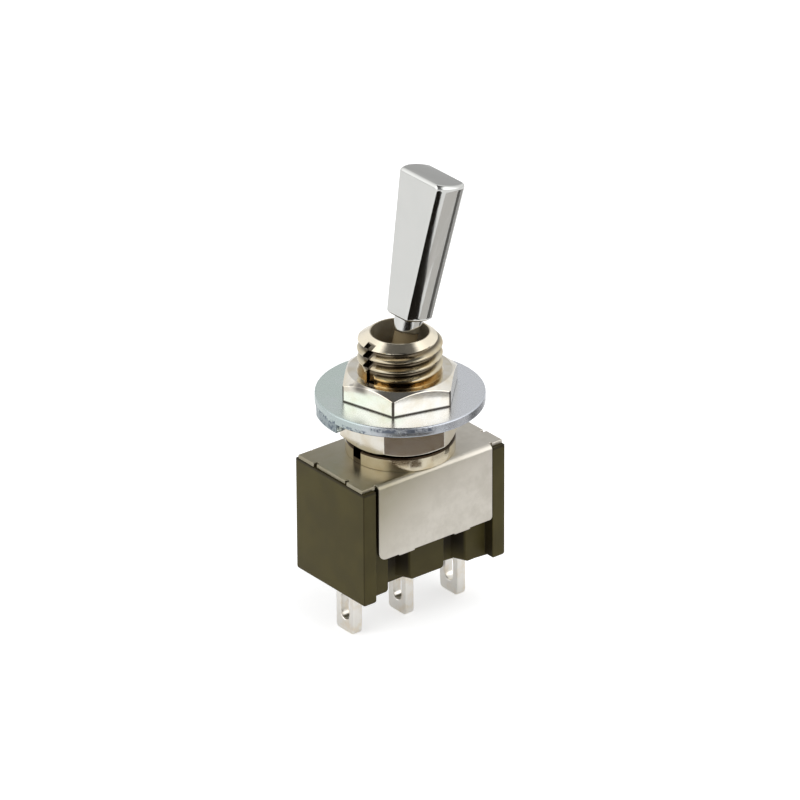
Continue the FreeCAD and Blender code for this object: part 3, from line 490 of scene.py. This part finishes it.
# Lever: one brass forging, turned below and pressed above into a flat, tapering paddle, then
# polished and chromed all over. Buffing has softened the edges of the paddle.
PIVOT_UP = -0.05
LEAN = math.radians(12)
TUBE = 0.75
TUBE_BORE = 0.45
TUBE_EDGE = 0.08
TUBE_FOOT = -7.337
TUBE_BORE_TOP = -2.937
BALL = 1.95
BALL_STEPS = 24
STEM = 0.85
COLLAR = 1.0
SIDE_STEPS = 14
FLAT_STEPS = 18
EDGE_ROUND = 0.13
FOOT_ROUND = 0.2
CROWN_ROUND = 0.3
# The paddle's foot and top: height, thickness, width of the flats and bulge of the narrow sides
PADDLE_FOOT = (4.0, 2.34, 2.2, 0.3)
PADDLE_TOP = (14.42, 2.58, 4.1, 0.5)


def paddle_outline(thickness, width, bulge):
    """Two flats facing X and two rounded narrow sides."""
    half = thickness / 2
    radius = (half ** 2 + bulge ** 2) / (2 * bulge)
    spread = math.asin(half / radius)
    centre = width / 2 + bulge - radius
    flat = width / 2 - EDGE_ROUND
    turned = spread - EDGE_ROUND / radius
    corner = Vector((half, width / 2))
    back = Vector((half, flat))
    ahead = Vector((radius * math.sin(turned), centre + radius * math.cos(turned)))
    points = [Vector((half, flat * (2 * step / FLAT_STEPS - 1))) for step in range(FLAT_STEPS)]
    for part in (0, 0.2, 0.4, 0.6, 0.8):
        points.append(back.lerp(corner, part).lerp(corner.lerp(ahead, part), part))
    for step in range(SIDE_STEPS + 1):
        angle = turned * (1 - 2 * step / SIDE_STEPS)
        points.append(Vector((radius * math.sin(angle), centre + radius * math.cos(angle))))
    points += [Vector((-point.x, point.y)) for point in reversed(points[FLAT_STEPS + 1:FLAT_STEPS + 5])]
    return points + [-point for point in points]


def leaning(across, along_y, up):
    """A point of the upright lever, leaned over to its end stop."""
    return (across * math.cos(LEAN) + up * math.sin(LEAN), along_y,
            up * math.cos(LEAN) - across * math.sin(LEAN) + PIVOT_UP)


def lever_rows():
    """Outlines of the lever from the tube's bore, over the ball and the collar, to the crown."""
    low = math.acos(TUBE / BALL)
    high = math.acos(STEM / BALL)
    profile = [(TUBE_BORE, TUBE_BORE_TOP), (TUBE_BORE, TUBE_FOOT), (TUBE - TUBE_EDGE, TUBE_FOOT),
               (TUBE, TUBE_FOOT + TUBE_EDGE)]
    for step in range(BALL_STEPS + 1):
        angle = -low + (low + high) * step / BALL_STEPS
        profile.append((BALL * math.cos(angle), BALL * math.sin(angle)))
    profile += [(STEM, 2.1), (STEM, 2.86), (STEM + 0.02, 2.92), (STEM + 0.08, 2.96),
                (COLLAR - 0.02, 3.0), (COLLAR, 3.05), (COLLAR, 3.12), (COLLAR, 3.92), (COLLAR, 4.0)]
    foot = paddle_outline(*PADDLE_FOOT[1:])
    turns = [math.atan2(y, x) for x, y in foot]
    rows = [[leaning(radius * math.cos(turn), radius * math.sin(turn), up) for turn in turns]
            for radius, up in profile]
    length = PADDLE_TOP[0] - PADDLE_FOOT[0]
    turns = [math.radians(18 * step) for step in range(6)]
    foot = [(FOOT_ROUND * (1 - math.sin(turn)) / length, 1 - math.cos(turn), FOOT_ROUND)
            for turn in reversed(turns)]
    flank = [(part, 0, 0) for part in (0.03, 0.06, 0.25, 0.5, 0.75, 0.93, 0.955)]
    crown = [(1 - CROWN_ROUND * (1 - math.sin(turn)) / length, 1 - math.cos(turn), CROWN_ROUND)
             for turn in turns]
    for part, inset, across in foot + flank + crown:
        up, thickness, width, bulge = [a + (b - a) * part for a, b in zip(PADDLE_FOOT, PADDLE_TOP)]
        outline = paddle_outline(thickness - CROWN_ROUND * inset, width - 2 * across * inset, bulge)
        rows.append([leaning(x, y, up) for x, y in outline])
    return rows


chrome = Finish("polished_chrome", Metallic=1.0)
haze = chrome.noise(0.5, detail=3.0)
buff = chrome.noise(1.6, detail=4.0, rough=0.6, stretch=(7, 7, 0.5))
x, y, z = chrome.parts()
# Below the collar, down in the bore, the lever is coloured brown and made rougher and less metallic
below_collar = 1 - (math.sin(LEAN) * x + math.cos(LEAN) * z).over(2.86, 2.94)
polished = chrome.blend(haze, shade(219, 219, 216), shade(212, 213, 210))
chrome.wear(
    Base_Color=chrome.blend(0.9 * below_collar, polished, shade(150, 130, 88)),
    Metallic=1 - 0.7 * below_collar,
    Roughness=0.05 + 0.05 * haze + 0.03 * buff + 0.12 * below_collar)
chrome.raise_by(buff + haze, 0.9)
lever = skin("lever_paddle", lever_rows(), False, chrome)
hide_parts("lever")
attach(lever, "lever")


# Plunger and its spring: a white nylon rod that slides in the lever's hollow end, pushed out on the
# rocker by a coil of bright spring wire.
nylon = Finish("white_nylon", Subsurface_Weight=0.15, Subsurface_Scale=0.0004)
flow = nylon.noise(1.2, detail=2.0)
nylon.wear(Base_Color=nylon.blend(flow, shade(226, 222, 208), shade(214, 208, 190)),
           Roughness=0.38 + 0.12 * flow)
nylon.raise_by(flow, 4.0)
dress("plunger", nylon, 0.03)

wire = Finish("spring_wire", Metallic=1.0)
draw = wire.noise(5.0, detail=2.0)
wire.wear(Base_Color=wire.blend(draw, shade(196, 196, 194), shade(160, 160, 158)),
          Roughness=0.25 + 0.1 * draw)
wire.raise_by(draw, 1.0)
spring = dress("plunger_spring", wire, 0.012)
blind_end = tuple(part * MM for part in leaning(0, 0, TUBE_BORE_TOP))
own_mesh(spring)


# Frame: stainless sheet, blanked, bent down over the long sides of the case and clinched under it
# by four small tabs. Its rolled surface is satin, with a faint cloudy grain along the strip.
PLATE_TOP = -6.13
sheet = Finish("satin_sheet", Metallic=1.0)
grain = sheet.noise(3.0, detail=4.0, rough=0.6, stretch=(0.35, 3.5, 3.5))
mottle = sheet.noise(0.9, detail=4.0, rough=0.6)
along, across, up = sheet.parts()
# Painted reflection: the sheet is darker towards -X and lighter towards +X and down the flaps, spread by
# the cloudy mottle
down = (PLATE_TOP - 0.27 - up).at_least(0)
lighter = (along + 1.4 * down + 2.5 * mottle).over(-6.0, 8.0)
painted_sheen = sheet.blend(lighter, shade(150, 143, 120), shade(216, 211, 201))
sheet.wear(
    Base_Color=sheet.blend(0.3 * mottle.over(0.35, 0.7), painted_sheen, shade(170, 164, 150)),
    Roughness=0.24 + 0.1 * mottle + 0.05 * grain)
sheet.raise_by(grain + 0.8 * mottle, 3.0)
dress("frame", sheet, 0.05, steps=3)


# Two hexagon nuts: turned from brass bar, threaded and bright nickel plated, and each chamfered on one
# face.
# The upper nut carries painted shade at its foot and corners, and a painted dark reflection on one face.
UPPER_NUT_FOOT = -1.65


def painted_nut_shade_and_reflection(plate):
    """How much painted shade darkens the upper nut's foot and corners, with a painted dark reflection on
    one of its faces.
    """
    x, y, z = plate.parts()
    out = distance_out(x, y)
    upper = z.over(UPPER_NUT_FOOT - 0.15, UPPER_NUT_FOOT - 0.05)
    foot = (1 - z.over(UPPER_NUT_FOOT + 0.07, UPPER_NUT_FOOT + 0.17)) * out.over(3.7, 3.75)
    corner = out.over(4.31, 4.35)
    along_face = (0.257 * x - 0.966 * y + 0.66).unsigned()
    painted_dark_reflection = (1 - along_face.over(0.15, 0.9)) * z.over(-0.8, -0.3) * (1 - x.over(-3.7, -3.5))
    return (0.9 * foot).at_least(0.93 * corner).at_least(0.75 * painted_dark_reflection) * upper


nut_nickel = plated("bright_nickel", shade(234, 230, 220), shade(224, 215, 196), 0.07,
                    coats=[(painted_nut_shade_and_reflection, shade(46, 34, 24))])
dress("lower_nut", nut_nickel, 0.05, steps=3)
dress("upper_nut", nut_nickel, 0.05, steps=3)


# Lock washer: thin spring bronze, stamped with inner teeth and nickel plated. It is squeezed between
# the lower nut and the locking ring.
washer_nickel = plated("washer_nickel", shade(224, 216, 196), shade(206, 190, 156), 0.2)
dress("lock_washer", washer_nickel, 0.04)


# Locking ring: blanked from steel plate and zinc plated, with a bluish passivated bloom. The die
# rounds its upper edge and leaves a torn band low on the rim; one lug is bent down.
RING = 6.0
RING_TOP = -1.65
RING_FOOT = -2.4
LUG_INSIDE = 5.05

zinc = Finish("blue_zinc", Metallic=1.0)
across, along, up = zinc.parts()
out = distance_out(across, along)
rim = out.over(RING - 0.14, RING - 0.03)
bloom = zinc.noise(0.5, detail=4.0, rough=0.6)
speck = zinc.noise(7.0, detail=3.0, rough=0.7)
low_rim = 1 - up.over(RING_FOOT + 0.04, RING_FOOT + 0.16)
# Painted dark reflection: the torn band grows denser on the side towards the camera
painted_front_dark = (-0.58 * across - 0.81 * along).over(5.1, 5.9)
ragged = zinc.noise(1.9, detail=4.0, rough=0.75, stretch=(1, 1, 0.7)) + 0.28 * painted_front_dark
torn_band = up.over(RING_TOP - 0.51, RING_TOP - 0.33) * (1 - up.over(RING_TOP - 0.15, RING_TOP - 0.03))
bent_lug = (1 - across.over(-5.4, -5.1)) * (1 - up.over(-2.2, -2.0))
bent_lug = bent_lug * out.over(LUG_INSIDE - 0.05, LUG_INSIDE + 0.15)
scuffs = zinc.noise(2.4, detail=4.0, rough=0.75).over(0.48, 0.56)
tear_and_front_dark = (ragged.over(0.64, 0.8) * rim * torn_band).at_least(scuffs * bent_lug)
bluer = (bloom + 0.05 * (across - along)).over(0.15, 0.7)
tone = zinc.blend(bluer, shade(214, 227, 222), shade(230, 233, 238))
# Painted shade darkens the whole rim, and its foot more; the torn band and the scuffs on the bent lug are
# real
dark = (0.85 * tear_and_front_dark).at_least(0.6 * low_rim * rim).at_least(0.3 * rim)
zinc.wear(
    Base_Color=zinc.blend(dark, tone, shade(76, 88, 108)),
    Roughness=0.2 + 0.08 * bloom + 0.06 * speck + 0.14 * tear_and_front_dark)
zinc.raise_by(0.25 * speck + bloom - 1.6 * tear_and_front_dark, 9.0)
dress("locking_ring", zinc, 0.11, steps=4)


# Floor: a pale sheet under the solder lugs. It keeps the switch's shadow and is seen white, also in
# the bright metal.
FLOOR_UP = -19.08
REACH = 4000
pale = bpy.data.materials.new("pale_floor")
pale.use_nodes = True
floor_graph = Graph(pale.node_tree)


def seen_as(graph, plain, reflected, falling):
    """One strength for the camera and clear things, one for reflections and one for falling light."""
    camera_ray = graph.node("ShaderNodeLightPath", output="Is Camera Ray")
    glass_ray = graph.node("ShaderNodeLightPath", output="Is Transmission Ray")
    glossy_ray = graph.node("ShaderNodeLightPath", output="Is Glossy Ray")
    clear = camera_ray.at_least(glass_ray)
    return clear * plain + (1 - clear) * (glossy_ray * reflected + (1 - glossy_ray) * falling)


matt = floor_graph.node("ShaderNodeBsdfDiffuse", {}, {"Color": (0.66, 0.66, 0.66, 1)})
glow = floor_graph.node("ShaderNodeEmission", {}, {"Strength": seen_as(floor_graph, 0.56, 0.23, 0.1)})
both = floor_graph.node("ShaderNodeAddShader", {}, [matt, glow])
floor_graph.node("ShaderNodeOutputMaterial", {}, [both])


def flat_sheet(name, corners, up, material):
    """A flat, level piece of the stage round the switch."""
    mesh = bpy.data.meshes.new(name)
    mesh.from_pydata([(x * MM, y * MM, up * MM) for x, y in corners], [], [range(len(corners))])
    mesh.materials.append(material)
    piece = bpy.data.objects.new(name, mesh)
    bpy.context.scene.collection.objects.link(piece)
    return piece


flat_sheet("floor", [(-REACH, -REACH), (REACH, -REACH), (REACH, REACH), (-REACH, REACH)], FLOOR_UP, pale)


# Cards: grey and black paper laid round the switch, which only the bright metal sees. They put the
# bands into its polish.
SECTOR_STEPS = 12


def sector(start, end, near_mm, far_mm):
    """Part of a ring between two bearings from the axis, counted from +X."""
    corners = []
    there = range(SECTOR_STEPS + 1)
    for distance, turns in ((near_mm, there), (far_mm, reversed(there))):
        for step in turns:
            angle = math.radians(start + (end - start) * step / SECTOR_STEPS)
            corners.append((distance * math.cos(angle), distance * math.sin(angle)))
    return corners


def card(name, corners, up, light):
    """A flat card with an even light of its own, in red, green and blue."""
    material = bpy.data.materials.new(name)
    material.use_nodes = True
    graph = Graph(material.node_tree)
    graph.node("ShaderNodeOutputMaterial", {}, [
        graph.node("ShaderNodeEmission", {}, {"Color": (*light, 1)})])
    piece = flat_sheet(name, corners, up, material)
    piece.visible_camera = False
    piece.visible_diffuse = False
    piece.visible_shadow = False


LOW = FLOOR_UP + 0.6
LEVER_CARD_UP = -8
MID_GREY = (0.62, 0.6, 0.58)
WARM_BLACK = (0.07, 0.05, 0.035)
beside_lever = [
    (9, -14), (3.5, -28.5), (-8.5, -41.4), (-12, -44), (-40, -80), (-84, -60), (-90, -20), (-40, -17),
    (-12, -15.2), (-7.4, -16.6), (-3.5, -18.2), (0, -19), (3.5, -18.6), (5, -16.6)]
card("lever_card", beside_lever, LEVER_CARD_UP, (0.012, 0.01, 0.008))
card("front_card", sector(-148, -111, 31, 47), LOW, WARM_BLACK)
card("thread_card", sector(-111, -93, 37.2, 47), LOW, WARM_BLACK)
card("nut_card", sector(-110, -87, 26.5, 36.8), LOW, (0.14, 0.11, 0.085))
card("near_side_card", sector(-66, -31, 29.5, 43.2), LOW, MID_GREY)
card("middle_side_card", sector(-92, -31, 43.4, 47), LOW, MID_GREY)
card("far_side_card", sector(-92, -31, 47.2, 64), LOW, MID_GREY)
card("edge_card", sector(-30, -9, 29, 62), LOW, (0.13, 0.125, 0.12))
card("last_card", sector(-8, 14, 29, 62), LOW, (0.42, 0.41, 0.4))


# Light: an even white tent, with a large soft lamp above and one from the left. The lamps themselves
# don't show in the metal.
world = bpy.data.worlds.new("tent")
bpy.context.scene.world = world
world.use_nodes = True
tent = Graph(world.node_tree)


def aligned(direction):
    """How far the tent lies in a direction, from -1 to 1."""
    bearing = tent.node("ShaderNodeTexCoord")
    return tent.node("ShaderNodeVectorMath", {"operation": "DOT_PRODUCT"}, [bearing, direction], 1)


def towards(direction, low, high):
    """1 where the tent lies in a direction, 0 away from it."""
    return aligned(direction).over(low, high)


# The tent is brightest in front, but for the slit the camera looks through; its top is open, and low
# at the back it is in shade
FRONT = (-0.622, -0.783, 0)
ASIDE = (0.783, -0.622, 0)
behind = 0.3 * towards((0.6, 0.72, 0.35), 0.86, 0.95) + 0.16 * towards((0.68, 0.72, 0.14), 0.965, 0.985)
overhead = towards((0, 0, 1), 0.86, 0.94)
in_front = towards(FRONT, -0.5, 0.25)
slit = (1 - aligned(ASIDE).unsigned().over(0.24, 0.5)) * towards(FRONT, 0.05, 0.3)
mirrored = (0.94 + 0.75 * in_front - behind) * (1 - 0.925 * overhead) * (1 - 0.88 * slit)
background = tent.node("ShaderNodeBackground", {}, {
    "Color": (1, 1, 1, 1), "Strength": seen_as(tent, 1.0, mirrored, 0.6)})
tent.node("ShaderNodeOutputWorld", {}, [background])


def soft_lamp(name, bearing, rise, distance_mm, size_mm, watts):
    """A square soft box that faces the switch."""
    lamp = bpy.data.lights.new(name, "AREA")
    lamp.size = size_mm * MM
    lamp.energy = watts
    piece = bpy.data.objects.new(name, lamp)
    turn = math.radians(bearing)
    lift = math.radians(rise)
    place = Vector((math.cos(turn) * math.cos(lift), math.sin(turn) * math.cos(lift), math.sin(lift)))
    piece.location = place * distance_mm * MM
    piece.rotation_mode = "QUATERNION"
    piece.rotation_quaternion = place.to_track_quat("Z", "Y")
    bpy.context.scene.collection.objects.link(piece)
    piece.visible_glossy = False


soft_lamp("top_lamp", -60, 68, 450, 320, 0.9)
soft_lamp("left_lamp", 165, 32, 450, 260, 0.7)


# Camera: at the photograph's angle, half a metre away, with a long lens that fills the picture as the
# photograph does.
AZIMUTH = math.radians(-38.475)
RISE = math.radians(26.699)
ROLL = math.radians(-0.287)
DISTANCE = 0.5
SENSOR = 36
FOCAL_SHARE = 7143.64 / 800
back = Vector((math.sin(AZIMUTH) * math.cos(RISE), -math.cos(AZIMUTH) * math.cos(RISE), math.sin(RISE)))
right = Vector((math.cos(AZIMUTH), math.sin(AZIMUTH), 0))
above = back.cross(right)
turned_right = right * math.cos(ROLL) + above * math.sin(ROLL)
turned_above = above * math.cos(ROLL) - right * math.sin(ROLL)
target = right * -0.011 * MM + Vector((0, 0, -2.443 * MM))
camera_data = bpy.data.cameras.new("camera")
camera_data.sensor_width = SENSOR
camera_data.lens = SENSOR * FOCAL_SHARE
camera_data.clip_start = 0.01
camera_data.clip_end = 20
camera = bpy.data.objects.new("camera", camera_data)
bpy.context.scene.collection.objects.link(camera)
place = target + back * DISTANCE
rows = [(turned_right[axis], turned_above[axis], back[axis], place[axis]) for axis in range(3)]
camera.matrix_world = Matrix(rows + [(0, 0, 0, 1)])
bpy.context.scene.camera = camera
bpy.context.scene.view_settings.view_transform = "Standard"
